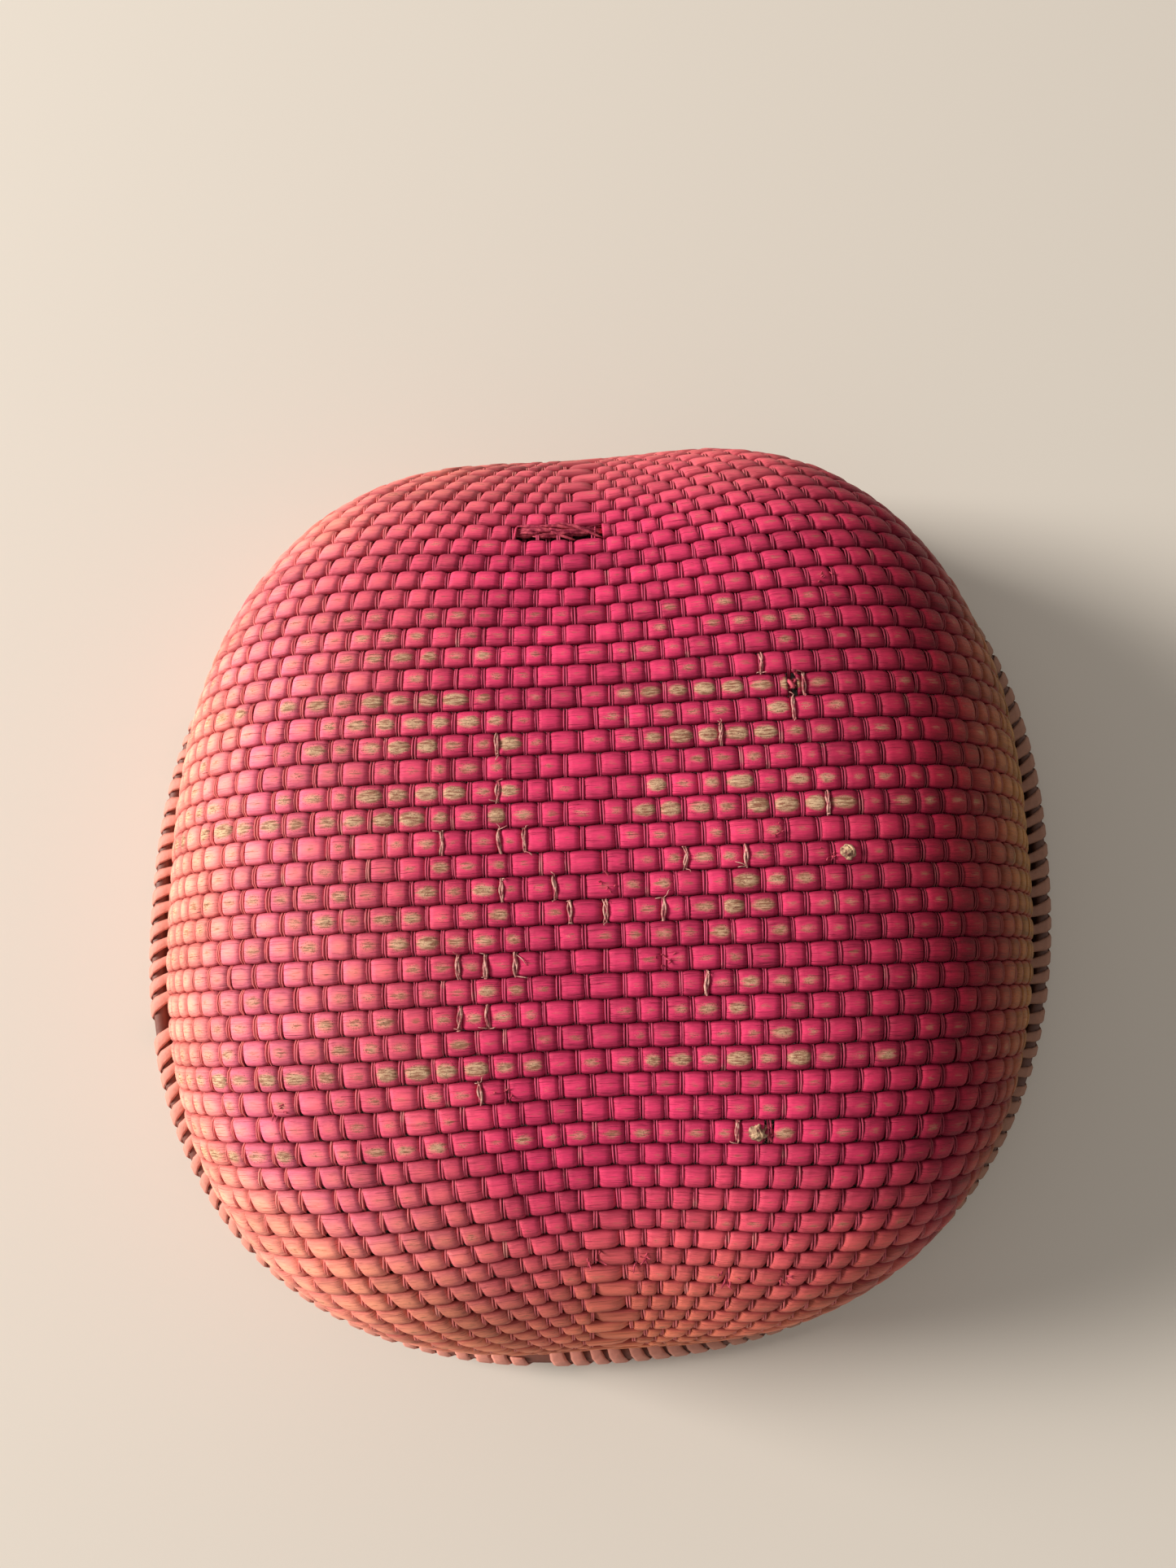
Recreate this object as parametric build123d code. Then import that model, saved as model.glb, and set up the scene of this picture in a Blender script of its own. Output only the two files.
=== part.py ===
from build123d import *
import math
import os

os.makedirs("parts", exist_ok=True)

# A deep rounded-square basket, woven from split stalks over paired cords, lashed to two hoops.
# It stands mouth down: the hoops rest on Z = 0, the dome rises along +Z, stalks run along X
# and cords along Y. All lengths are in millimetres.

# The woven skin, measured at the middle of its thickness
skin_half_width = 95.4      # X, at the rim
skin_half_length = 94.6     # Y, at the rim
rim_squareness = 2.57       # superellipse exponent of the rim
dome_height = 58.5          # crown above the skin's lower edge
skin_base = 4.0             # height of the skin's lower edge
side_flatness = 7.0         # across the stalks: flat top, steep sides
side_roundness = 1.12
end_flatness = 3.4          # along the middle line: an even arch
end_roundness = 3.2
gather_draw = 5.5           # how far rows are drawn in at the two gathers
gather_dent = 5.0           # depth of the shallow valley that leads to each gather
gather_reach = 28.0         # half-width of both
skew = 0.02                 # the basket leans a little out of square
centring = 0.3              # puts the middle of the outer hoop's box on the axes, in X and Y

# The weave
stalk_count = 66
stalk_taper = 0.21          # how much narrower the stalks are at the two ends
stalk_thickness = 1.4
stalk_gap = 0.25
end_stalks = 11             # short stalks kept together at each end
stalk_stations = 23
cord_count = 98             # pairs of cords
cord_pair_width = 1.3
cord_thickness = 0.5
cord_clearance = 0.4
cord_stations = 17
cords_per_group = 13
crowding = 0.22             # how much closer cords stand beside the middle line at the ends
crowding_reach = 13.0

# The rim
hoop_height = 8.0
hoop_thickness = 2.8
hoop_points = 48
outer_clearance = 1.9       # the outer hoop stands off the weave, held by the lashing
outer_bulge = 1.3           # more at the middle of each side and less at the corners
outer_lean = 0.3            # more on the -X and -Y sides
inner_clearance = 1.5
lash_count = 160
lash_width = 3.5
lash_thickness = 0.7
lash_lift = 0.4             # the lashing stays this far above the resting face
lash_slant = 24.0           # degrees from upright


def leaned(x, y):
    """Plan position after the whole basket's lean out of square."""
    spread = (x * x + y * y) / 100.0 ** 2
    turn = math.atan2(y, x)
    scale = 1 + spread * skew * math.sin(2 * turn)
    return x * scale, y * scale


def half_width(y):
    """Half the skin's width on the row at plan position y."""
    share = min(abs(y) / skin_half_length, 0.99999)
    return skin_half_width * (1 - share ** rim_squareness) ** (1 / rim_squareness)


def crown(y):
    """Height of the arch over the row at plan position y."""
    share = min(abs(y) / skin_half_length, 0.99999)
    return dome_height * (1 - share ** end_flatness) ** (1 / end_roundness)


def skin(x, y):
    """Point of the skin over plan position x on the row y."""
    share = min(abs(x) / half_width(y), 1.0)
    height = crown(y) * (1 - share ** side_flatness) ** (1 / side_roundness)
    along = min(abs(y) / skin_half_length, 1.0)
    gather = math.exp(-(x / gather_reach) ** 2)
    draw = gather_draw * along ** 2 * (1 - along ** 8) * gather
    dent = gather_dent * along ** 3 * (1 - along ** 6) * gather
    plan_x, plan_y = leaned(x, y - math.copysign(draw, y))
    return Vector(plan_x + centring, plan_y + centring, skin_base + height - dent)


def outward(x, y):
    """Outward normal of the skin."""
    step = 0.05
    inner_x = math.copysign(min(abs(x), half_width(y) - 0.4), x)
    inner_y = math.copysign(min(abs(y), skin_half_length - 0.4), y)
    across = skin(inner_x + step, inner_y) - skin(inner_x - step, inner_y)
    along = skin(inner_x, inner_y + step) - skin(inner_x, inner_y - step)
    return across.cross(along).normalized()


def spaced(curve, count, low, high, pitch=lambda step: 1.0, samples=400):
    """Parameters that cut the curve into count lengths in proportion to the local pitch."""
    steps = [low + (high - low) * i / samples for i in range(samples + 1)]
    points = [curve(step) for step in steps]
    lengths = [0.0]
    for step, first, second in zip(steps, points, points[1:]):
        lengths.append(lengths[-1] + (second - first).length / pitch(step))
    chosen = []
    at = 0
    for i in range(count + 1):
        goal = lengths[-1] * i / count
        while at < samples - 1 and lengths[at + 1] < goal:
            at += 1
        part = (goal - lengths[at]) / (lengths[at + 1] - lengths[at])
        chosen.append(steps[at] + (steps[at + 1] - steps[at]) * min(max(part, 0), 1))
    return chosen


def strip(points, normals, widths, thickness):
    """Closed strip with a rectangular section that follows the points."""
    sections = []
    for i, point in enumerate(points):
        before = points[max(i - 1, 0)]
        after = points[min(i + 1, len(points) - 1)]
        tangent = (after - before).normalized()
        across = normals[i].cross(tangent).normalized()
        plane = Plane(origin=point, x_dir=across, z_dir=tangent)
        sections.append(plane * Rectangle(widths[i], thickness))
    return Solid.make_loft([section.wire() for section in sections], ruled=True)


def row_point(y, share):
    """Skin point on the row y at a share of its half-width."""
    return skin(share * half_width(y), y)


def stalk(low, high):
    """One stalk: a strip from rim to rim between two row edges."""
    middle = (low + high) / 2
    stations = spaced(lambda share: row_point(middle, share), stalk_stations, -0.999, 0.999)
    points, normals, widths = [], [], []
    for share in stations:
        first = row_point(low, share)
        last = row_point(high, share)
        points.append((first + last) * 0.5)
        normals.append(outward(share * half_width(middle), middle))
        widths.append(max((last - first).length - stalk_gap, 0.8))
    return strip(points, normals, widths, stalk_thickness)


def cord_place(start, y):
    """Plan x at row y of the cord that crosses the middle row at start."""
    along = abs(y) / skin_half_length
    squeeze = crowding * (0.15 + along ** 1.5)
    return start - squeeze * crowding_reach * math.tanh(start / crowding_reach)


def cord_end(start):
    """Plan y at which a cord meets the rim."""
    low, high = 0.0, skin_half_length * 0.999
    for _ in range(40):
        middle = (low + high) / 2
        if abs(cord_place(start, middle)) < half_width(middle) * 0.992:
            low = middle
        else:
            high = middle
    return low


def cord_pair(start):
    """A pair of cords as one flat strip just inside the stalks."""
    reach = cord_end(start)
    rows = spaced(lambda y: skin(cord_place(start, y), y), cord_stations, -reach, reach)
    depth = stalk_thickness / 2 + cord_clearance + cord_thickness / 2
    points, normals = [], []
    for y in rows:
        x = cord_place(start, y)
        normal = outward(x, y)
        points.append(skin(x, y) - normal * depth)
        normals.append(normal)
    return strip(points, normals, [cord_pair_width] * len(points), cord_thickness)


def rim_point(turn, offset):
    """Plan point of the rim outline, moved in or out by offset; outside, the hoop's own slack is added."""
    c, s = math.cos(turn), math.sin(turn)
    if offset > 0:
        offset += outer_bulge * math.cos(4 * turn) - outer_lean * (c + s)
    reach = (abs(c) ** rim_squareness + abs(s) ** rim_squareness) ** (-1 / rim_squareness)
    x, y = leaned((skin_half_width + offset) * reach * c, (skin_half_length + offset) * reach * s)
    return Vector(x + centring, y + centring, 0)


def rim_loop(offset):
    """Closed face inside the rim outline, moved outward by offset."""
    turns = [2 * math.pi * i / hoop_points for i in range(hoop_points)]
    return make_face(Spline([rim_point(turn, offset) for turn in turns], periodic=True))


def hoop(inner, outer):
    """Flat hoop between two outlines, standing on Z = 0."""
    return extrude(rim_loop(outer) - rim_loop(inner), hoop_height)


def lashing(offset, slant):
    """Slanted wraps of flat strip against a hoop face at the given offset."""
    wraps = []
    for turn in spaced(lambda t: rim_point(t, offset), lash_count, 0.0, 2 * math.pi)[:-1]:
        here = rim_point(turn, offset)
        along = (rim_point(turn + 0.01, offset) - rim_point(turn - 0.01, offset)).normalized()
        facing = along.cross(Vector(0, 0, 1)) * math.copysign(1, offset)
        middle = Vector(here.X, here.Y, lash_lift + (hoop_height - lash_lift) / 2)
        length = (hoop_height - 2 * lash_lift) / math.cos(math.radians(slant)) - lash_width * 0.45
        plane = Plane(origin=middle + facing * (lash_thickness / 2), x_dir=along, z_dir=facing)
        wraps.append(plane * Rot(0, 0, slant) * Box(lash_width, length, lash_thickness))
    return wraps


def save(name, solids):
    """Write one node's solids to its own file."""
    shape = solids[0] if len(solids) == 1 else Compound(children=solids)
    export_step(shape, f"parts/{name}.step")


def stalk_pitch(y):
    """Width of a stalk at plan y, as a share of the widest."""
    return 1 - stalk_taper * (abs(y) / skin_half_length) ** 1.5


edges = spaced(lambda y: skin(20, y), stalk_count, -skin_half_length, skin_half_length, stalk_pitch)
stalks = [stalk(low, high) for low, high in zip(edges, edges[1:])]
save("weft_stalks_front_end", stalks[:end_stalks])
save("weft_stalks_back_end", stalks[-end_stalks:])
for number, piece in enumerate(stalks[end_stalks:-end_stalks], start=1):
    save(f"weft_stalk_{number:02d}", [piece])

starts = spaced(lambda x: skin(x, 0), cord_count + 1, -skin_half_width, skin_half_width)[1:-1]
pairs = [cord_pair(start) for start in starts]
for number, first in enumerate(range(0, cord_count, cords_per_group), start=1):
    save(f"warp_cords_{number}", pairs[first:first + cords_per_group])

outer_face = stalk_thickness / 2 + outer_clearance
inner_face = stalk_thickness / 2 + inner_clearance
save("outer_hoop", [hoop(outer_face, outer_face + hoop_thickness)])
save("inner_hoop", [hoop(-inner_face - hoop_thickness, -inner_face)])
save("outer_lashing", lashing(outer_face + hoop_thickness, lash_slant))
save("inner_lashing", lashing(-inner_face - hoop_thickness, -lash_slant))
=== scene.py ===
import bpy
import math
import numpy as np
from mathutils import Matrix, Vector


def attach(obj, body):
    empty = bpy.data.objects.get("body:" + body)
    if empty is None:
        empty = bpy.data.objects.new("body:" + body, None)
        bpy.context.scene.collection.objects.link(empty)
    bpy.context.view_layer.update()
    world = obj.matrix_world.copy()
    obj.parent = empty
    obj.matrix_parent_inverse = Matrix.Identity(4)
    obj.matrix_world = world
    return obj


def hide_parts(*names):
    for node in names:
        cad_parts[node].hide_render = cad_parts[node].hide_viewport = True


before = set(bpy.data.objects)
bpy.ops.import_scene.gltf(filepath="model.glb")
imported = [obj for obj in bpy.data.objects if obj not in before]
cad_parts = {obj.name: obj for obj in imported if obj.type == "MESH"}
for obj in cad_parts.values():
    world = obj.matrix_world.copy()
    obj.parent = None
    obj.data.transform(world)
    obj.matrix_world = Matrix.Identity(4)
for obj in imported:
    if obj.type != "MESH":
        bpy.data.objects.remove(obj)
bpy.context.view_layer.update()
dice = np.random.default_rng(11)

# The shape of the woven skin, in metres. x runs along the stalks, y along the cords.
skin = {
    "halfWidth": 0.0954,
    "halfLength": 0.0946,
    "square": 2.57,        # how square the rim is
    "height": 0.0585,
    "base": 0.004,
    "sideFlat": 7.0,
    "sideRound": 1.12,
    "endFlat": 3.4,
    "endRound": 3.2,
    "draw": 0.0055,        # how far rows are drawn in at the gathers
    "dent": 0.0050,        # the shallow valley towards each gather
    "gatherReach": 0.028,
    "skew": 0.02,
    "centring": 0.0003,    # puts the middle of the outer hoop's box on the axes
}


def rimWidth(y):
    share = np.minimum(np.abs(y) / skin["halfLength"], 0.99999)
    return skin["halfWidth"] * (1 - share ** skin["square"]) ** (1 / skin["square"])


def leaned(x, y):
    spread = (x * x + y * y) / 0.1 ** 2
    scale = 1 + spread * skin["skew"] * np.sin(2 * np.arctan2(y, x))
    return x * scale, y * scale


def skinPoint(x, y):
    share = np.minimum(np.abs(y) / skin["halfLength"], 0.99999)
    crown = skin["height"] * (1 - share ** skin["endFlat"]) ** (1 / skin["endRound"])
    side = np.minimum(np.abs(x) / rimWidth(y), 1.0)
    height = crown * (1 - side ** skin["sideFlat"]) ** (1 / skin["sideRound"])
    gather = np.exp(-(x / skin["gatherReach"]) ** 2)
    draw = skin["draw"] * share ** 2 * (1 - share ** 8) * gather
    dent = skin["dent"] * share ** 3 * (1 - share ** 6) * gather
    planX, planY = leaned(x, y - np.sign(y) * draw)
    shift = skin["centring"]
    return np.stack([planX + shift, planY + shift, skin["base"] + height - dent], -1)


def unit(vectors):
    return vectors / np.maximum(np.linalg.norm(vectors, axis=-1, keepdims=True), 1e-12)


def skinNormal(x, y):
    step = 5e-5
    y = np.clip(y, -skin["halfLength"] + 4e-4, skin["halfLength"] - 4e-4)
    x = np.clip(x, -rimWidth(y) + 4e-4, rimWidth(y) - 4e-4)
    across = skinPoint(x + step, y) - skinPoint(x - step, y)
    along = skinPoint(x, y + step) - skinPoint(x, y - step)
    return unit(np.cross(across, along))


def spaced(points, steps, count, pitch):
    # Steps that cut a line into count lengths in proportion to the local pitch
    lengths = np.linalg.norm(np.diff(points, axis=0), axis=1) / pitch[:-1]
    total = np.concatenate([[0], np.cumsum(lengths)])
    return np.interp(np.linspace(0, total[-1], count + 1), total, steps)


# The weave
weave = {
    "stalks": 66,
    "taper": 0.21,          # stalks are narrower towards the two ends
    "endStalks": 11,        # short stalks kept together at each end
    "cords": 98,            # pairs of cords
    "cordGroup": 13,
    "crowding": 0.22,       # cords stand closer beside the middle line
    "crowdReach": 0.013,
    "middleGap": 0.0007,    # the widest gap is on the middle line
    "endGap": 0.0034,       # and it opens towards the two gathers
    "wander": 0.00022,      # how unevenly cords are spaced
    "stalkWander": 0.00008,
    "outermost": 0.0947,    # the last cords stay inside the rim
    "samples": 401,
}

samples = weave["samples"]
fine = np.linspace(-skin["halfLength"], skin["halfLength"], samples)
stalkPitch = 1 - weave["taper"] * (np.abs(fine) / skin["halfLength"]) ** 1.5
stalkEdges = spaced(skinPoint(np.full(samples, 0.020), fine), fine, weave["stalks"], stalkPitch)
fineX = np.linspace(-skin["halfWidth"], skin["halfWidth"], samples)
cordLine = skinPoint(fineX, np.zeros(samples))
cordStarts = spaced(cordLine, fineX, weave["cords"] + 1, np.ones(samples))[1:-1]
cordStarts = cordStarts + np.sign(cordStarts) * weave["middleGap"] * np.exp(-np.abs(cordStarts) / 0.025)
cordStarts = cordStarts + dice.normal(0, weave["wander"], len(cordStarts))
cordStarts = np.clip(cordStarts, -weave["outermost"], weave["outermost"])
stalkEdges[1:-1] += dice.normal(0, weave["stalkWander"], len(stalkEdges) - 2)
stalkMiddles = (stalkEdges[1:] + stalkEdges[:-1]) / 2


def cordPlaces(y):
    # Plan x of every cord on the row y
    share = np.abs(y) / skin["halfLength"]
    squeeze = weave["crowding"] * (0.15 + share ** 1.5)
    sway = 0.0003 * np.sin(y / 0.011 + np.arange(len(cordStarts)) * 1.7)
    reach = weave["crowdReach"]
    opened = weave["endGap"] * share ** 5 * np.sign(cordStarts) * np.exp(-np.abs(cordStarts) / 0.022)
    return cordStarts + sway + opened - squeeze * reach * np.tanh(cordStarts / reach)


# Mesh tools
def clearSelection():
    if bpy.context.mode != "OBJECT":
        bpy.ops.object.mode_set(mode="OBJECT")
    bpy.ops.object.select_all(action="DESELECT")


def pick(piece):
    clearSelection()
    piece.select_set(True)
    bpy.context.view_layer.objects.active = piece


def readPoints(piece):
    points = np.empty(len(piece.data.vertices) * 3)
    piece.data.vertices.foreach_get("co", points)
    return points.reshape(-1, 3)


def writePoints(piece, points):
    piece.data.vertices.foreach_set("co", np.ascontiguousarray(points, float).ravel())
    piece.data.update()


def keepValue(piece, name, values):
    kept = piece.data.attributes.new(name, "FLOAT", "POINT")
    kept.data.foreach_set("value", np.ascontiguousarray(values, np.float32))


def dropUvs(piece):
    for layer in list(piece.data.uv_layers):
        piece.data.uv_layers.remove(layer)


def keepUv(piece, u, v):
    layer = piece.data.uv_layers.new(name="weave")
    corners = np.empty(len(piece.data.loops), int)
    piece.data.loops.foreach_get("vertex_index", corners)
    layer.data.foreach_set("uv", np.stack([u[corners], v[corners]], -1).astype(np.float32).ravel())


def tubeBlank(name, sides, rings):
    # A tube of unit pitch along X with a ring of edges at each place in rings
    clearSelection()
    bpy.ops.mesh.primitive_cylinder_add(vertices=sides, radius=0.5, depth=1, end_fill_type="NOTHING",
                                        location=(0.5, 0, 0), rotation=(0, math.pi / 2, 0))
    blank = bpy.context.object
    blank.name = name
    bpy.ops.object.transform_apply(location=True, rotation=True, scale=True)
    if len(rings) > 1:
        # only the edges that run along X are cut
        bpy.ops.object.mode_set(mode="EDIT")
        bpy.ops.mesh.select_mode(type="EDGE")
        bpy.ops.mesh.select_all(action="DESELECT")
        bpy.ops.object.mode_set(mode="OBJECT")
        for edge in blank.data.edges:
            ends = [blank.data.vertices[i].co.x for i in edge.vertices]
            edge.select = abs(ends[0] - ends[1]) > 0.5
        bpy.ops.object.mode_set(mode="EDIT")
        bpy.ops.mesh.subdivide(number_cuts=len(rings) - 1)
        bpy.ops.object.mode_set(mode="OBJECT")
    points = readPoints(blank)
    even = np.linspace(0, 1, len(rings) + 1)
    points[:, 0] = np.interp(points[:, 0], even, list(rings) + [1.0])
    writePoints(blank, points)
    return blank


def longTube(blank, name, first, last):
    # Copies of the blank in line from first to last, trimmed and closed at both ends
    tube = bpy.data.objects.new(name, blank.data.copy())
    bpy.context.scene.collection.objects.link(tube)
    pick(tube)
    start = math.floor(first)
    points = readPoints(tube)
    points[:, 0] += start
    writePoints(tube, points)
    row = tube.modifiers.new("row", "ARRAY")
    row.count = math.ceil(last) - start
    row.use_relative_offset = False
    row.use_constant_offset = True
    row.constant_offset_displace = (1, 0, 0)
    row.use_merge_vertices = True
    row.merge_threshold = 0.002
    bpy.ops.object.modifier_apply(modifier="row")
    bpy.ops.object.mode_set(mode="EDIT")
    for place, inner, outer in ((first, True, False), (last, False, True)):
        bpy.ops.mesh.select_all(action="SELECT")
        bpy.ops.mesh.bisect(plane_co=(place, 0, 0), plane_no=(1, 0, 0), use_fill=True,
                            clear_inner=inner, clear_outer=outer, threshold=1e-5)
    bpy.ops.mesh.select_all(action="SELECT")
    bpy.ops.mesh.normals_make_consistent(inside=False)
    bpy.ops.object.mode_set(mode="OBJECT")
    return tube


def joined(pieces, name):
    clearSelection()
    for piece in pieces:
        piece.select_set(True)
    bpy.context.view_layer.objects.active = pieces[0]
    if len(pieces) > 1:
        bpy.ops.object.join()
    whole = bpy.context.object
    whole.name = name
    whole.data.name = name
    return whole


def settle(piece, material, nodes):
    pick(piece)
    bpy.ops.object.shade_smooth()
    piece.data.materials.clear()
    piece.data.materials.append(material)
    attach(piece, "root")
    if nodes:
        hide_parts(*nodes)


# Materials: a socket wrapper, so that shader maths reads as sums
class Wire:
    def __init__(self, tree, source):
        self.tree = tree
        self.source = source

    def math(self, operation, *others):
        return makeNode(self.tree, "ShaderNodeMath", {"operation": operation}, [self, *others])

    def __add__(self, other):
        return self.math("ADD", other)

    def __radd__(self, other):
        return self.math("ADD", other)

    def __sub__(self, other):
        return self.math("SUBTRACT", other)

    def __rsub__(self, other):
        return makeNode(self.tree, "ShaderNodeMath", {"operation": "SUBTRACT"}, [other, self])

    def __mul__(self, other):
        return self.math("MULTIPLY", other)

    def __rmul__(self, other):
        return self.math("MULTIPLY", other)

    def __truediv__(self, other):
        return self.math("DIVIDE", other)

    def __pow__(self, other):
        return self.math("POWER", other)

    def step(self, low, high):
        # 0 below low, 1 above high, smooth between
        return makeNode(self.tree, "ShaderNodeMapRange", {"interpolation_type": "SMOOTHSTEP"},
                        {"Value": self, "From Min": low, "From Max": high}, "Result")


def makeNode(tree, kind, settings=None, inputs=None, output=0):
    node = tree.nodes.new(kind)
    for key, value in (settings or {}).items():
        setattr(node, key, value)
    pairs = inputs.items() if isinstance(inputs, dict) else enumerate(inputs or [])
    for key, value in pairs:
        if isinstance(value, Wire):
            tree.links.new(value.source, node.inputs[key])
        elif isinstance(value, tuple) and node.inputs[key].type == "RGBA":
            node.inputs[key].default_value = (*value, 1)
        else:
            node.inputs[key].default_value = value
    return Wire(tree, node.outputs[output])


class Finish:
    def __init__(self, name, **constants):
        self.material = bpy.data.materials.new(name)
        self.material.use_nodes = True
        self.tree = self.material.node_tree
        self.shader = self.tree.nodes["Principled BSDF"]
        for socket, value in constants.items():
            self.shader.inputs[socket.replace("_", " ")].default_value = value

    def node(self, kind, settings=None, inputs=None, output=0):
        return makeNode(self.tree, kind, settings, inputs, output)

    def place(self):
        return self.node("ShaderNodeTexCoord", output="Object")

    def parts(self, vector):
        # x and y of a place
        return [self.node("ShaderNodeSeparateXYZ", {}, [vector], i) for i in range(2)]

    def point(self, x, y, z):
        return self.node("ShaderNodeCombineXYZ", {}, [x, y, z])

    def value(self, name):
        return self.node("ShaderNodeAttribute", {"attribute_name": name}, output="Fac")

    def noise(self, vector, scale, detail, rough):
        return self.node("ShaderNodeTexNoise", {},
                         {"Vector": vector, "Scale": scale, "Detail": detail, "Roughness": rough}, "Fac")

    def times(self, vector, other):
        return self.node("ShaderNodeVectorMath", {"operation": "MULTIPLY"}, [vector, other])

    def shaded(self, colour, paintedLightAndTone):
        return self.node("ShaderNodeVectorMath", {"operation": "SCALE"}, {0: colour, "Scale": paintedLightAndTone})

    def blend(self, amount, low, high):
        return self.node("ShaderNodeMix", {"data_type": "RGBA"}, {0: amount, 6: low, 7: high}, 2)

    def feed(self, **sockets):
        for socket, wire in sockets.items():
            self.tree.links.new(wire.source, self.shader.inputs[socket.replace("_", " ")])

    def bump(self, height, strength, distance):
        values = {"Height": height, "Strength": strength, "Distance": distance}
        self.feed(Normal=self.node("ShaderNodeBump", {}, values))


# Camera: held over the basket, tipped a little back
camera = {
    "turn": math.radians(2.12),
    "tip": math.radians(-10.68),
    "roll": math.radians(-1.17),
    "seat": (-0.00189, 0.01947, 0.24311),   # place in its own axes, from the point below
    "target": (0.0003, 0.0003, 0.024),
    "lens": 26.06,
}
view = (Matrix.Rotation(camera["turn"], 3, "Z") @ Matrix.Rotation(camera["tip"], 3, "X")
        @ Matrix.Rotation(camera["roll"], 3, "Y")).transposed()
place = view @ Vector(camera["seat"]) + Vector(camera["target"])
clearSelection()
bpy.ops.object.camera_add()
eye = bpy.context.object
eye.matrix_world = Matrix.Translation(place) @ view.to_4x4()
eye.data.lens = camera["lens"]
eye.data.sensor_width = 36
eye.data.clip_start = 0.01
bpy.context.scene.camera = eye
print("camera set")

# Floor and soft light, the key light on the left
studio = {
    "floorHalf": 1.5,
    "floorColour": (0.72, 0.655, 0.575),
    "key": 104.0,
    "keyPlace": (-2.30, 0.50, 1.12),
    "keyAim": (0, 0, 0.02),
    "keySize": 0.90,
    "fill": 0.38,
    "warmth": (1.0, 0.97, 0.93),
}
bpy.ops.mesh.primitive_grid_add(x_subdivisions=8, y_subdivisions=8, size=2 * studio["floorHalf"])
floor = bpy.context.object
floor.name = "floor"
floorFinish = Finish("floorPaper", Roughness=0.9, Specular_IOR_Level=0.2)
floorFinish.shader.inputs["Base Color"].default_value = (*studio["floorColour"], 1)
floor.data.materials.append(floorFinish.material)
bpy.ops.object.light_add(type="AREA", location=studio["keyPlace"])
key = bpy.context.object
key.data.energy = studio["key"]
key.data.size = studio["keySize"]
key.data.color = studio["warmth"]
key.rotation_euler = (Vector(studio["keyAim"]) - key.location).to_track_quat("-Z", "Y").to_euler()
world = bpy.data.worlds.new("room")
bpy.context.scene.world = world
world.use_nodes = True
background = world.node_tree.nodes["Background"]
background.inputs["Color"].default_value = (*studio["warmth"], 1)
background.inputs["Strength"].default_value = studio["fill"]
bpy.context.scene.view_settings.view_transform = "Standard"
print("floor and light set")

# Finishes
fading = {
    # where the dye begins to thin, in metres from the middle, and how far it takes
    "left": (0.011, 0.074),
    "right": (0.062, 0.026),
    "front": (0.049, 0.050),
    "back": (0.057, 0.050),
    "uneven": 0.5,
}
dye = {
    "crown": (0.72, 0.042, 0.134),     # fresh dye over the dome
    "left": (0.97, 0.240, 0.325),      # thin dye on the walls, pinker on the left, and painted brighter there for the key light
    "edge": (0.90, 0.28, 0.21),        # the far left
    "low": (0.74, 0.22, 0.105),        # the walls in front and on the right
    "high": (0.66, 0.17, 0.14),        # the wall at the back
    "peach": (0.92, 0.36, 0.22),       # middles of the thinly dyed cells, partly a painted sheen from the key light
    "deep": (0.15, 0.003, 0.020),      # painted shade in the seams, with deeper dye there
    # painted shade and deeper dye in the seams of the walls
    "wallDeep": (0.34, 0.030, 0.045),
    "rightShadeCrown": (0.22, 0.02, 0.01),   # painted shade: share of the colour left on the right side, away from the key light, on the dome and on the walls
    "rightShadeWall": (0.43, 0.64, 0.36),
    "worn": (0.74, 0.55, 0.32),        # bare straw, and where it is weathered
    "weathered": (0.27, 0.14, 0.07),
    "speck": (0.15, 0.04, 0.03),
    "cordFresh": (0.56, 0.050, 0.125),
    "cordThin": (0.72, 0.19, 0.16),
    "cordWorn": (0.62, 0.36, 0.28),
}


def thinDye(x, y, patches):
    # Where the dye is thin: from the left of the dome outwards, and low on the other walls
    total = (patches - 0.5) * fading["uneven"]
    for side, distance in (("left", x * -1), ("right", x), ("front", y * -1), ("back", y)):
        start, reach = fading[side]
        total = total + ((distance - start) / reach).math("MAXIMUM", 0)
    return total.step(0.0, 1.05)


def paintedRightShade(f, x, thin):
    # Painted shade: the share of the colour that is left on the right side, away from the key light
    rightShade = (x * 15 - 0.25).step(0.0, 1.0)
    return f.blend(rightShade, (1, 1, 1), f.blend(thin, dye["rightShadeCrown"], dye["rightShadeWall"]))


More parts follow.
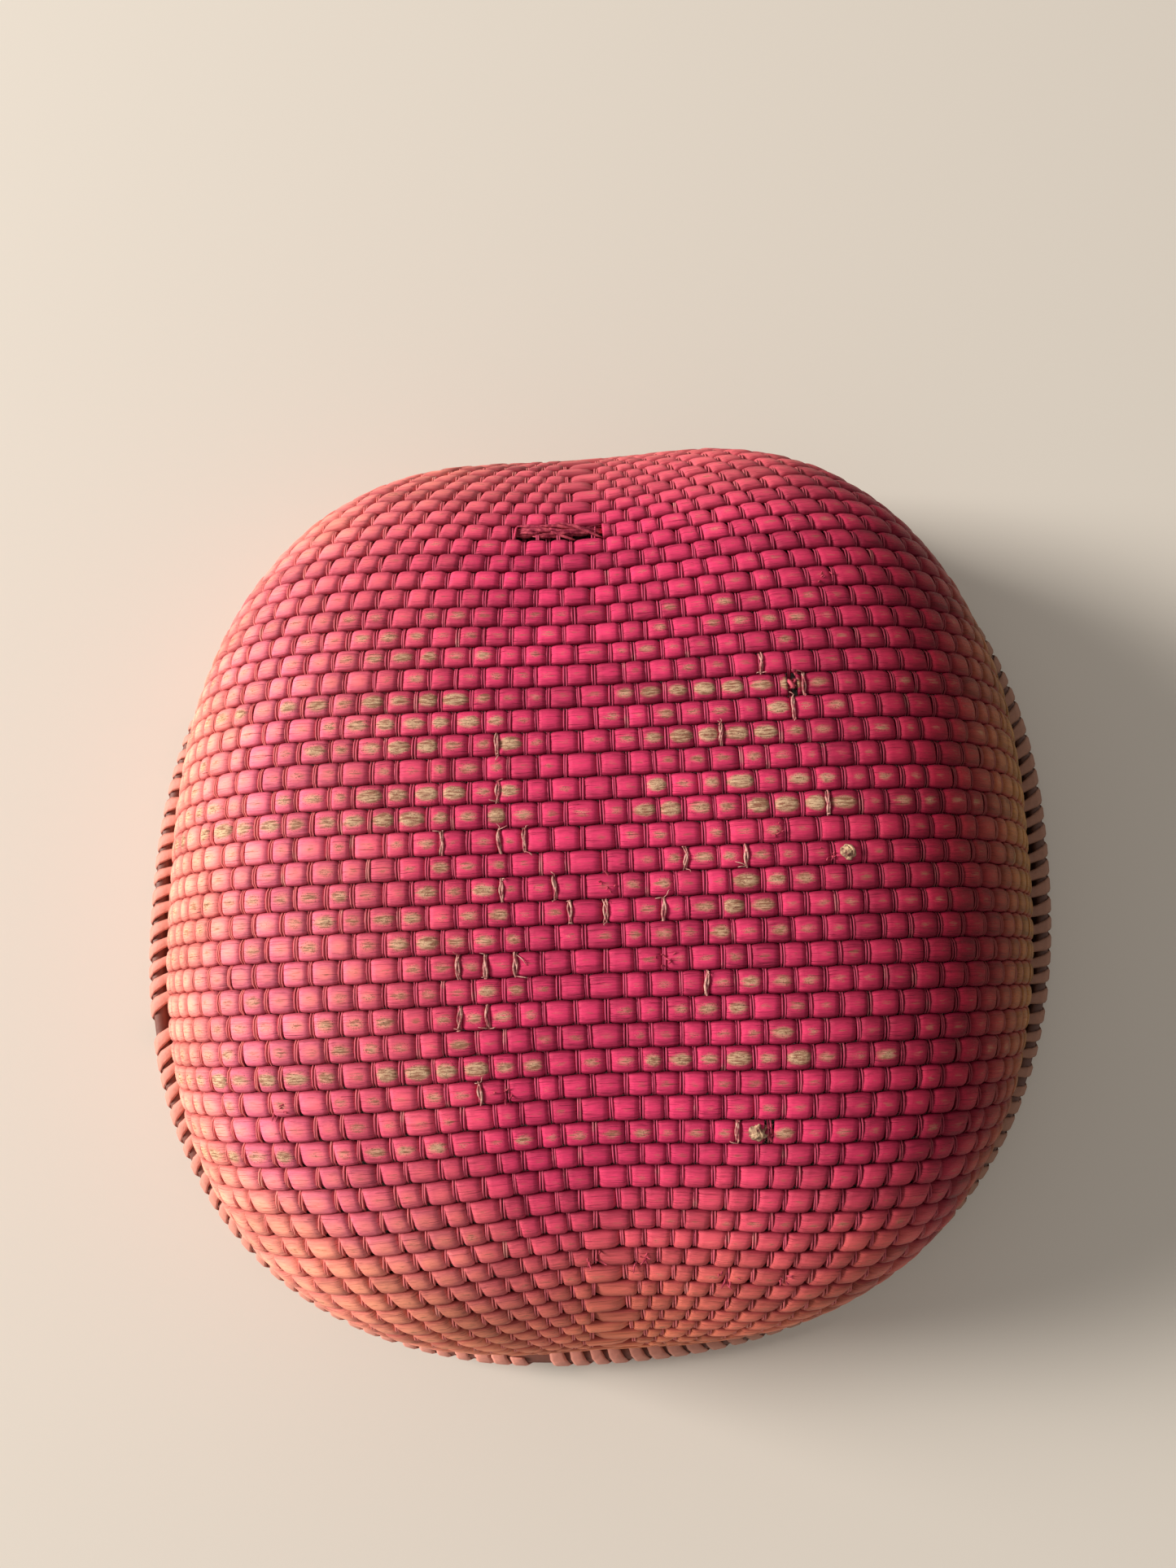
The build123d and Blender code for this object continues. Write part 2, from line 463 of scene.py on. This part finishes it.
def dyedStalk():
    f = Finish("dyedStalk", Specular_IOR_Level=0.13)
    spot = f.place()
    x, y = f.parts(spot)
    along, across = f.parts(f.node("ShaderNodeUVMap", {"uv_map": "weave"}))
    tone, worn, row = f.value("tone"), f.value("worn"), f.value("row")
    grain = f.noise(f.point(along * 0.9, across * 4.5, row * 7.31), 2.4, 4.0, 0.65)
    patches = f.noise(spot, 42, 3.0, 0.55)
    cell = along - along.math("ROUND")      # 0 in the middle of a cell, half at its ends
    thin = thinDye(x, y, patches)
    # the walls: peach and pink on the left, thin dye with painted light and a painted sheen from the key
    # light; salmon in front and rosy at the back
    middle = ((cell / 0.40) ** 2 + (across / 0.75) ** 2).step(1.0, 0.0)
    pinkish = f.blend((thin - 0.62).step(0.0, 0.38), dye["left"], dye["edge"])
    pale = f.blend(middle * (0.15 + patches * 0.8), pinkish, dye["peach"])
    high = (y * 30 - 0.9).step(0.0, 1.0)
    other = f.blend(high, dye["low"], dye["high"])
    paleLitSide = (x * -14 + 0.1).step(0.0, 1.0) * (1 - high * 0.5)
    colour = f.blend(thin, dye["crown"], f.blend(paleLitSide, other, pale))
    # painted shade on the right side
    colour = f.times(colour, paintedRightShade(f, x, thin))
    # painted light: paler on the left, where the key light falls, and a painted highlight where each
    # cell stands up; tone, grain and patches vary the colour at random
    cellHighlight = ((cell / 0.42) ** 2 + (across / 0.62) ** 2).step(1.1, 0.0)
    paintedLightAndTone = 0.82 + (x * -3).step(0.0, 0.2) * 0.2 + cellHighlight * 0.34 + tone * 0.28
    paintedLightAndTone = paintedLightAndTone + (grain - 0.5) * 1.1 + (patches - 0.5) * 0.45
    colour = f.shaded(colour, paintedLightAndTone)
    # rubbed straw in the middle of the cells
    reach = (cell / 0.37) ** 2 + (across / 0.50) ** 2
    ragged = f.noise(f.point(along * 1.6, across * 3.2, row * 3.17), 2.0, 3.0, 0.65)
    rub = (worn * 1.25 - reach * 0.85 - (ragged - 0.5) * 2.2 - (grain - 0.5) * 1.2).step(-0.1, 0.9)
    fresh = (grain * 1.1 + ragged * 1.3 + tone * 0.08 - 0.98).step(0.0, 0.42)
    colour = f.blend(rub * 0.88, colour, f.blend(fresh, dye["weathered"], dye["worn"]))
    speckle = f.noise(f.point(along * 9.0, across * 4.0, row * 5.7), 2.6, 2.0, 0.6)
    specks = (speckle - 0.60).step(0.0, 0.05) * (worn * 1.6 - reach * 0.5).step(0.1, 0.5)
    colour = f.blend(specks * 0.75, colour, dye["speck"])
    # fine splits along the stalk, and painted shade with deeper dye in the seams and beside the cords
    streaks = f.noise(f.point(along * 0.35, across * 7.0, row * 11.9), 2.0, 2.0, 0.5)
    split = (streaks - 0.66).step(0.0, 0.03)
    seam = (across.math("ABSOLUTE") - 0.66).step(0.0, 0.34)
    nook = (cell.math("ABSOLUTE") - 0.415).step(0.0, 0.085)
    seamShadeAndDye = seam.math("MAXIMUM", nook) * (0.80 - thin * 0.25)
    deep = f.blend(thin, dye["deep"], dye["wallDeep"])
    colour = f.blend(seamShadeAndDye.math("MAXIMUM", split * 0.45), colour, deep)
    f.feed(Base_Color=colour, Roughness=0.50 + rub * 0.25 + (grain - 0.5) * 0.35)
    f.bump(grain * 0.6 + ragged * 0.25 - split * 0.4, 0.9, 0.0003)
    return f.material


def dyedCord():
    f = Finish("dyedCord", Specular_IOR_Level=0.35)
    spot = f.place()
    x, y = f.parts(spot)
    patches = f.noise(spot, 120, 3.0, 0.6)
    strands = f.noise(f.times(spot, (1, 0.2, 1)), 3200, 2.0, 0.6)
    thin = thinDye(x, y, patches)
    colour = f.blend(thin, dye["cordFresh"], dye["cordThin"])
    colour = f.blend((patches - 0.58).step(0.0, 0.12) * 0.35, colour, dye["cordWorn"])
    # lighter and darker strands, and painted shade on the right side
    colour = f.times(f.shaded(colour, 0.7 + strands * 0.6), paintedRightShade(f, x, thin))
    f.feed(Base_Color=colour, Roughness=0.6 + strands * 0.2)
    f.bump(strands, 0.6, 0.0001)
    return f.material


def reedFinish(name, left, right, scale):
    f = Finish(name, Specular_IOR_Level=0.35)
    spot = f.place()
    patches = f.noise(spot, 60, 3.0, 0.6)
    grain = f.noise(f.times(spot, (1, 1, 3.0)), scale, 3.0, 0.65)
    # painted shade: the right side, away from the key light, takes the darker colour
    side = (f.parts(spot)[0] * 9.0 + 0.35 + (patches - 0.5) * 0.5).step(0.0, 1.0)
    colour = f.shaded(f.blend(side, left, right), 0.62 + grain * 0.5 + patches * 0.28)
    f.feed(Base_Color=colour, Roughness=0.5 + grain * 0.2)
    f.bump(grain, 0.7, 0.0002)
    return f.material


def looseFibre(name, dark, pale):
    f = Finish(name, Roughness=0.8, Specular_IOR_Level=0.25)
    spot = f.place()
    patches = f.noise(spot, 700, 3.0, 0.7)
    colour = f.blend((patches - 0.35).step(0.0, 0.3), dark, pale)
    f.feed(Base_Color=colour)
    f.bump(f.noise(spot, 4000, 2.0, 0.6), 0.8, 0.0001)
    return f.material


frayFinish = looseFibre("frayedFibre", (0.36, 0.07, 0.085), (0.70, 0.38, 0.31))
knotFinish = looseFibre("mattedFibre", (0.16, 0.05, 0.04), (0.62, 0.42, 0.25))
tornFinish = looseFibre("tornFibre", (0.24, 0.012, 0.04), (0.62, 0.09, 0.13))
stalkFinish = dyedStalk()
cordFinish = dyedCord()
# painted shade: the second colour of each reed is its shaded right side
hoopFinish = reedFinish("hoopReed", (0.20, 0.07, 0.05), (0.12, 0.055, 0.04), 420)
lashFinish = reedFinish("lashStrip", (0.74, 0.28, 0.21), (0.30, 0.14, 0.09), 700)
print("finishes made")

# Stalks: half-round strips, a bead over each hidden pair of cords
stalkShape = {
    "sides": 16,
    "rings": (0, 0.04, 0.08, 0.14, 0.27, 0.5, 0.73, 0.86, 0.92, 0.96),
    "half": 0.00095,       # half the thickness
    "round": 2.45,         # section, 2 is an ellipse
    "lift": 0.0001,
    "dip": 0.00075,        # how far a stalk is pressed in under a cord
    "dipReach": 0.21,      # in cord spaces
    "pinch": 0.11,
    "pinchReach": 0.2,     # in cord spaces
    "belly": 0.05,         # how much wider the middle of a cell is
    "bulge": 0.00014,      # and how much it rises
    "uneven": 0.0002,      # between one cell and the next
    "seam": 0.00008,
}
cellDice = dice.random((weave["stalks"], 60, 4))     # the last two of a row are the whole stalk's


def superSection(points, power):
    turn = np.arctan2(points[:, 2], points[:, 1])
    c, s = np.cos(turn), np.sin(turn)
    return np.sign(c) * np.abs(c) ** (2 / power), np.sign(s) * np.abs(s) ** (2 / power)


def rowMap(i):
    # Cord numbers met by stalk i and their plan x, with the stalk's two ends
    y = stalkMiddles[i]
    places = cordPlaces(y)
    reach = rimWidth(y) * 0.998
    inside = np.nonzero(np.abs(places) < reach * 0.992)[0]
    numbers = np.concatenate([[inside[0] - 0.7], inside, [inside[-1] + 0.7]])
    return numbers, np.concatenate([[-reach], places[inside], [reach]])


def rubbed(x, y, chance, rowChance):
    # How worn a cell is: two broad bands over the dome and a softer one on the left
    band = np.exp(-((np.abs(x + 0.002) - 0.027) / 0.020) ** 2) * np.exp(-((y - 0.004) / 0.050) ** 4)
    left = 0.5 * np.exp(-((x + 0.070) / 0.020) ** 2) * np.exp(-((y + 0.004) / 0.06) ** 4)
    return np.clip((band * 1.1 + left + 0.25) * rowChance * (0.35 + 1.1 * chance) - 0.10, 0, 1.15)


def makeStalk(i):
    numbers, places = rowMap(i)
    parity = (i + 1) % 2
    stops = [numbers[0], *damage["cuts"].get(i, ()), numbers[-1]]
    lengths = [longTube(stalkBlank, f"stalk{i}", (stops[k] - parity) / 2, (stops[k + 1] - parity) / 2)
               for k in range(0, len(stops), 2)]
    stalk = joined(lengths, f"stalk{i}")
    points = readPoints(stalk)
    number = points[:, 0] * 2 + parity
    x = np.interp(number, numbers, places)
    low, middle, high = stalkEdges[i], stalkMiddles[i], stalkEdges[i + 1]
    share = x / rimWidth(middle)
    first, last = skinPoint(share * rimWidth(low), low), skinPoint(share * rimWidth(high), high)
    across = last - first
    width = np.linalg.norm(across, axis=1)
    across = unit(across)
    normal = skinNormal(x, np.full(len(x), middle))
    normal = unit(normal - across * np.sum(normal * across, 1, keepdims=True))
    valley = 1 - np.abs((number - parity) % 2 - 1)
    dipped = np.exp(-(valley / stalkShape["dipReach"]) ** 2)
    wide, tall = superSection(points, stalkShape["round"])
    belly = stalkShape["belly"] * (np.sin(np.pi / 2 * valley) * 2 - 1)
    pinch = stalkShape["pinch"] * np.exp(-(valley / stalkShape["pinchReach"]) ** 2)
    half = (width - stalkShape["seam"]) / 2 * (1 + belly - pinch)
    bulge = stalkShape["bulge"] * np.sin(np.pi / 2 * np.minimum(valley * 1.6, 1))
    rise = (stalkShape["lift"] - stalkShape["dip"] * dipped + bulge
            + tall * stalkShape["half"] * (1 - 0.15 * dipped))
    cells = np.clip(np.round((number - i % 2) / 2).astype(int), 0, cellDice.shape[1] - 1)
    chance = cellDice[i, cells]
    rise = rise + (chance[:, 3] - 0.5) * stalkShape["uneven"] * (1 - dipped)
    writePoints(stalk, (first + last) / 2 + across * (wide * half)[:, None] + normal * rise[:, None])
    dropUvs(stalk)
    keepUv(stalk, (number - i % 2) / 2, wide)
    keepValue(stalk, "tone", (chance[:, 0] - 0.5) * 1.2 + (cellDice[i, 59, 1] - 0.5) * 0.8)
    keepValue(stalk, "worn", rubbed(x, middle, chance[:, 1], 0.35 + cellDice[i, 58, 1] ** 1.5))
    keepValue(stalk, "row", np.full(len(x), float(i)))
    return stalk


# Damage: stalks torn away between two cords, and spots given as (stalk, cord)
damage = {
    "cuts": {48: (43.4, 49.8), 39: (62.7, 63.5), 21: (59.5, 60.3)},
    "frays": ((37, 42), (35, 42), (33, 42), (33, 44), (33, 38), (31, 42), (31, 46), (30, 47), (30, 49),
              (30, 53), (28, 39), (28, 41), (28, 43), (32, 55), (27, 56), (26, 41), (26, 39), (23, 40),
              (32, 59), (34, 65), (21, 58), (38, 63), (37, 58), (39, 64), (40, 61)),
    "tufts": ((28, 53), (44, 66), (15, 48), (15, 51), (14, 57), (14, 61), (31, 49), (32, 65), (23, 27),
              (23, 42), (33, 61)),
    "knots": ((21, 59, 0.0016), (32, 66, 0.0015)),
}
stalkBlank = tubeBlank("stalkBlank", stalkShape["sides"], stalkShape["rings"])
stalks = [makeStalk(i) for i in range(weave["stalks"])]
bpy.data.objects.remove(stalkBlank)
ends = weave["endStalks"]
settle(joined(stalks[:ends], "frontEndStalks"), stalkFinish, ["weft_stalks_front_end"])
settle(joined(stalks[-ends:], "backEndStalks"), stalkFinish, ["weft_stalks_back_end"])
for number, stalk in enumerate(stalks[ends:-ends], start=1):
    stalk.name = f"stalk_{number:02d}"
    settle(stalk, stalkFinish, [f"weft_stalk_{number:02d}"])
print("stalks woven")

# Cords: pairs of thin strands, over one stalk and under the next
cordShape = {
    "sides": 5,
    "rings": (0, 0.3, 0.5, 0.7),
    "radius": 0.00019,
    "apart": 0.00046,      # between the two strands of a pair
    "over": 0.00076,       # height over a stalk and under the next
    "under": -0.00112,
}


def makeStrand(j, side):
    # The rows that cord j meets, from where it enters at one end to where it leaves
    places = np.array([cordPlaces(middle)[j] for middle in stalkMiddles])
    reachable = np.nonzero(np.abs(places) < rimWidth(stalkMiddles) * 0.992)[0]
    first, last = float(reachable[0] - 0.45), float(reachable[-1] + 0.45)
    strand = longTube(strandBlank, f"strand{j}", first, last)
    points = readPoints(strand)
    row = points[:, 0]
    y = np.interp(row, np.arange(weave["stalks"]), stalkMiddles)
    x = np.interp(row, np.arange(weave["stalks"]), places)
    x = np.clip(x, -rimWidth(y) * 0.995, rimWidth(y) * 0.995)
    lowEdge = np.interp(row, np.arange(weave["stalks"] + 1) - 0.5, stalkEdges)
    base = skinPoint(x, lowEdge)
    normal = skinNormal(x, lowEdge)
    # the seam points lie on the skin, the middle of a stalk on the chord between its edges
    nearest = np.round(row).astype(int)
    wave = np.cos(np.pi * (row - nearest))
    wave = np.sign(wave) * np.abs(wave) ** 0.45
    over = np.where((nearest + j) % 2 == 1, wave, -wave)
    top, bottom = cordShape["over"], cordShape["under"]
    rise = (top + bottom) / 2 + (top - bottom) / 2 * over
    along = unit(skinPoint(x, lowEdge + 2e-4) - skinPoint(x, lowEdge - 2e-4))
    across = unit(np.cross(along, normal))
    wobble = 1 + 0.25 * np.sin(row * 0.9 + j * 2.1)
    shift = side * cordShape["apart"] / 2 * wobble
    thick = cordShape["radius"] * 2 * (1 + 0.12 * np.sin(row * 1.7 + j + side))
    spot = base + across * shift[:, None] + normal * rise[:, None]
    spot = spot + across * (points[:, 1] * thick)[:, None] + normal * (points[:, 2] * thick)[:, None]
    writePoints(strand, spot)
    dropUvs(strand)
    return strand


strandBlank = tubeBlank("strandBlank", cordShape["sides"], cordShape["rings"])
for group, start in enumerate(range(0, weave["cords"], weave["cordGroup"]), start=1):
    members = range(start, min(start + weave["cordGroup"], weave["cords"]))
    strands = [makeStrand(j, side) for j in members for side in (-1, 1)]
    settle(joined(strands, f"cords_{group}"), cordFinish, [f"warp_cords_{group}"])
bpy.data.objects.remove(strandBlank)
print("cords woven")

# Loose fibre: short strands twisted over a crossing, tufts, torn ends and knots
loose = {
    "sides": 5,
    "steps": 9,
    "radius": 0.00016,
    "rise": 0.00135,       # of a frayed cord over its stalk
    "tuftRadius": 0.00017,
    "tuftHeight": 0.0013,
    "splinter": (0.0002, 0.00048),     # least and greatest radius
    "knotRadius": 0.00022,
}


def spotFrame(i, number):
    # Point on the skin over stalk i at a cord number, with the directions along it, across it and out
    y = np.array([stalkMiddles[int(i)]])
    x = np.interp([number], np.arange(weave["cords"]), cordPlaces(y[0]))
    out = skinNormal(x, y)[0]
    along = unit(skinPoint(x + 1e-4, y) - skinPoint(x - 1e-4, y))[0]
    return skinPoint(x, y)[0], along, np.cross(out, along), out


def fibre(path, radius):
    # A tapered strand along a path of points
    strand = bpy.data.objects.new("fibre", straightFibre.data.copy())
    bpy.context.scene.collection.objects.link(strand)
    points = readPoints(strand)
    step = points[:, 0] / loose["steps"] * (len(path) - 1)
    marks = np.arange(len(path))
    middle = np.stack([np.interp(step, marks, path[:, k]) for k in range(3)], -1)
    slope = np.gradient(path, axis=0)
    ahead = unit(np.stack([np.interp(step, marks, slope[:, k]) for k in range(3)], -1))
    side = unit(np.cross(ahead, [0.31, 0.17, 0.94]))
    top = np.cross(side, ahead)
    thick = 2 * radius * (1 - 0.65 * np.abs(points[:, 0] / loose["steps"] * 2 - 1) ** 3)
    aside, above = (points[:, 1] * thick)[:, None], (points[:, 2] * thick)[:, None]
    writePoints(strand, middle + side * aside + top * above)
    return strand


def curl(start, end, bow, sway, phase):
    # A bowed and slightly twisted path between two points
    share = np.linspace(0, 1, 13)[:, None]
    arch = np.sin(np.pi * share)
    return start + (end - start) * share + bow * arch + sway * np.sin(share * 5 + phase) * 0.5


def frayedCrossing(i, j):
    # A thick worn pair of cords over a stalk, with loose ends
    spot, along, across, out = spotFrame(i, j)
    half = (stalkEdges[i + 1] - stalkEdges[i]) * 0.56
    parts = []
    for k in range(3):
        shift = along * (k - 1) * 0.00026
        wild = dice.normal(0, 1, 3)
        start = spot - across * half * (1 + 0.1 * wild[0]) + shift - out * 0.0001
        end = spot + across * half * (1 + 0.1 * wild[1]) - shift - out * 0.0001
        path = curl(start, end, out * loose["rise"], along * 0.0007, k * 2.1 + wild[2])
        parts.append(fibre(path, loose["radius"] * (1 + 0.25 * abs(wild[0]))))
    for k in range(2):
        wild = dice.normal(0, 1, 4)
        start = spot + across * half * 0.8 * np.sign(wild[0]) + out * 0.0006
        end = start + along * 0.0011 * wild[1] + across * 0.0007 * wild[2] + out * 0.0006
        path = curl(start, end, out * 0.0005, along * 0.0004, wild[3])
        parts.append(fibre(path, loose["radius"] * 0.6))
    return parts


def tuft(i, j):
    # A small brush of broken fibre standing in a gap
    spot, along, across, out = spotFrame(i, j)
    parts = []
    for _ in range(6):
        wild = dice.normal(0, 1, 5)
        start = spot + along * 0.0006 * wild[0] + across * 0.0006 * wild[1]
        height = loose["tuftHeight"] + 0.0003 * abs(wild[4])
        end = start + along * 0.0009 * wild[2] + across * 0.0009 * wild[3] + out * height
        path = curl(start, end, along * 0.0003 * wild[4], across * 0.0004, wild[2])
        parts.append(fibre(path, loose["tuftRadius"]))
    return parts


def tornEnds(i, first, last):
    # Splinters left where a stalk has torn between two cords
    parts = []
    for k in range(int(6 + (last - first) * 4)):
        wild = dice.normal(0, 1, 5)
        fromLeft = k % 2 == 0
        rootNumber = first if fromLeft else last
        reach = (last - first) * dice.uniform(0.25, 0.85) * (1 if fromLeft else -1)
        start, _, across, out = spotFrame(i, rootNumber)
        end, _, endAcross, endOut = spotFrame(i, rootNumber + reach)
        start = start + across * 0.0007 * wild[0] + out * 0.0003
        end = end + endAcross * 0.0008 * wild[1] + endOut * (0.0001 + 0.0007 * abs(wild[2]))
        thick = dice.uniform(*loose["splinter"])
        path = curl(start, end, out * 0.0004 * wild[3], across * 0.0006, wild[4])
        parts.append(fibre(path, thick))
    return parts


def knot(i, j, size):
    # A lump of matted fibre: a small ball pushed out of round, with strands over it
    spot, along, across, out = spotFrame(i, j)
    clearSelection()
    bpy.ops.mesh.primitive_ico_sphere_add(subdivisions=4, radius=1)
    ball = bpy.context.object
    points = readPoints(ball)
    lumps = sum(np.sin(points @ dice.normal(0, 5, 3) + dice.uniform(0, 6)) for _ in range(6)) * 0.05
    points = points * (1 + lumps)[:, None] * size
    height = points[:, 2:] * 0.75 + 0.0006
    writePoints(ball, spot + along * points[:, :1] * 1.1 + across * points[:, 1:2] + out * height)
    dropUvs(ball)
    parts = [ball]
    for k in range(7):
        turn = k * 0.9
        way = along * math.cos(turn) + across * math.sin(turn)
        aside = np.cross(out, way)
        shift = aside * 0.0005 * math.sin(k * 2.3)
        path = curl(spot - way * size * 1.1 + shift, spot + way * size * 1.1 + shift,
                    out * (size * 0.75 + 0.0008), aside * 0.0006, k)
        parts.append(fibre(path, loose["knotRadius"]))
    return parts


fibreBlank = tubeBlank("fibreBlank", loose["sides"], (0,))
straightFibre = longTube(fibreBlank, "straightFibre", 0.0, float(loose["steps"]))
dropUvs(straightFibre)
fraying = [part for i, j in damage["frays"] for part in frayedCrossing(i, j)]
settle(joined(fraying, "frayedCords"), frayFinish, [])
splinters = [part for i, (first, last) in damage["cuts"].items() for part in tornEnds(i, first, last)]
settle(joined(splinters, "tornSplinters"), tornFinish, [])
tufts = [part for i, j in damage["tufts"] for part in tuft(i, j)]
settle(joined(tufts, "fibreTufts"), tornFinish, [])
knots = [part for i, j, size in damage["knots"] for part in knot(i, j, size)]
settle(joined(knots, "fibreKnots"), knotFinish, [])
bpy.data.objects.remove(fibreBlank)
bpy.data.objects.remove(straightFibre)
print("worn spots made")

# Hoops: rounded flat bands, one each side of the weave's edge
rim = {
    "outerFace": 0.0026,       # nearer face of the outer hoop, out from the middle of the weave
    "bulge": 0.0013,           # further out at the middle of each side and nearer at the corners
    "lean": 0.0003,            # and further out on the left and at the front
    "innerFace": -0.0022,
    "thick": 0.0028,
    "low": 0.0006,
    "high": 0.0080,
    "segments": 220,
}
rimTurns = np.linspace(0, 2 * np.pi, 1441)


def rimPoint(turn, offset):
    c, s = np.cos(turn), np.sin(turn)
    reach = (np.abs(c) ** skin["square"] + np.abs(s) ** skin["square"]) ** (-1 / skin["square"])
    slack = rim["bulge"] * np.cos(4 * turn) - rim["lean"] * (c + s)
    offset = offset + slack * np.clip(offset / rim["outerFace"], 0, 1)
    x, y = leaned((skin["halfWidth"] + offset) * reach * c, (skin["halfLength"] + offset) * reach * s)
    return np.stack([x, y], -1) + skin["centring"]


rimLine = rimPoint(rimTurns, 0.0)
rimLengths = np.concatenate([[0], np.cumsum(np.linalg.norm(np.diff(rimLine, axis=0), axis=1))])
rimAround = float(rimLengths[-1])
rimLengths = rimLengths / rimAround


def rimPlace(share, offset, height):
    # Point at a share of the way round the rim, out by offset, and the direction along it
    turn = np.interp(share % 1.0, rimLengths, rimTurns)
    flat = rimPoint(turn, offset)
    return np.concatenate([flat, np.broadcast_to(height, turn.shape)[:, None]], 1)


def makeHoop(name, near, node):
    clearSelection()
    bpy.ops.mesh.primitive_torus_add(major_radius=1, minor_radius=0.25, major_segments=rim["segments"],
                                     minor_segments=12)
    hoop = bpy.context.object
    hoop.name = name
    points = readPoints(hoop)
    share = (np.arctan2(points[:, 1], points[:, 0]) / (2 * np.pi)) % 1.0
    out = np.hypot(points[:, 0], points[:, 1]) - 1
    section = np.stack([share, out, points[:, 2]], -1)
    wide, tall = superSection(section, 4.5)
    middle = (rim["low"] + rim["high"]) / 2
    # the upper edge is a little uneven
    wavy = 0.00012 * np.sin(share * 2 * np.pi * 23) + 0.0001 * np.sin(share * 2 * np.pi * 9)
    half = rim["thick"] / 2
    height = middle + tall * (rim["high"] - rim["low"]) / 2 + wavy * (tall > 0.3)
    writePoints(hoop, rimPlace(share, near + half + wide * half, height))
    settle(hoop, hoopFinish, [node])


makeHoop("outerHoop", rim["outerFace"], "outer_hoop")
makeHoop("innerHoop", rim["innerFace"] - rim["thick"], "inner_hoop")

# Lashing: one flat strip wound round both hoops and through the weave
lash = {
    "turns": 160,
    "width": 0.0036,
    "thick": 0.00055,
    "rings": 18,
    "slant": 1.25,         # how far it runs along the rim while it crosses the outer hoop, in turns
    "drift": 0.00035,      # how unevenly the turns lie
    "slim": 0.35,          # share of its width that the narrowest turn loses
    # in turns, with gaps where it has worn away
    "lengths": ((0.02, 86.55), (87.5, 116.4), (118.3, 159.98)),
    # out and up along one turn, from under the hoops
    "path": ((0.0, 0.00030), (0.0042, 0.00032), (0.00565, 0.0012), (0.0057, 0.0040),
             (0.00565, 0.0072), (0.0050, 0.00830), (0.0041, 0.00850), (0.0029, 0.00845),
             (0.0014, 0.00800), (0.0002, 0.00790), (-0.0020, 0.00835), (-0.0040, 0.00845),
             (-0.0052, 0.0074), (-0.0053, 0.0040), (-0.0052, 0.0012), (-0.0042, 0.00032),
             (-0.0015, 0.00030)),
}


def onPath(path, phase):
    closed = np.array(path + path[:1])
    lengths = np.concatenate([[0], np.cumsum(np.linalg.norm(np.diff(closed, axis=0), axis=1))])
    return np.stack([np.interp(phase % 1, lengths / lengths[-1], closed[:, k]) for k in range(2)], -1)


def makeLashing(first, last, drifts, slims):
    strip = longTube(stripBlank, "lashing", first, last)
    points = readPoints(strip)
    turn = points[:, 0]
    here = onPath(lash["path"], turn)
    ahead = unit(onPath(lash["path"], turn + 0.01) - onPath(lash["path"], turn - 0.01))
    outwards = np.stack([ahead[:, 1], -ahead[:, 0]], -1)
    wide, tall = superSection(points, 3.0)
    marks = np.arange(len(drifts))
    crossed = np.interp(turn % 1, (0, 0.24, 0.50, 1), (0, 0, 1, 0))
    narrowed = 1 - 0.35 * np.exp(-((turn % 1 - 0.50) / 0.09) ** 2)      # where it enters the weave
    half = lash["width"] / 2 * np.interp(turn, marks, slims) * narrowed
    aside = np.interp(turn, marks, drifts) + wide * half
    share = (turn - lash["slant"] * crossed) / lash["turns"] + aside / rimAround
    lift = tall * lash["thick"] / 2
    offset, height = (here + outwards * lift[:, None]).T
    writePoints(strip, rimPlace(share, offset, height))
    return strip


drifts = dice.normal(0, lash["drift"], 2 * lash["turns"])
slims = 1 - lash["slim"] * dice.random(2 * lash["turns"]) ** 2
stripBlank = tubeBlank("stripBlank", 6, tuple(k / lash["rings"] for k in range(lash["rings"])))
strips = [makeLashing(first, last, drifts, slims) for first, last in lash["lengths"]]
bpy.data.objects.remove(stripBlank)
settle(joined(strips, "lashing"), lashFinish, ["outer_lashing", "inner_lashing"])
print("rim lashed")
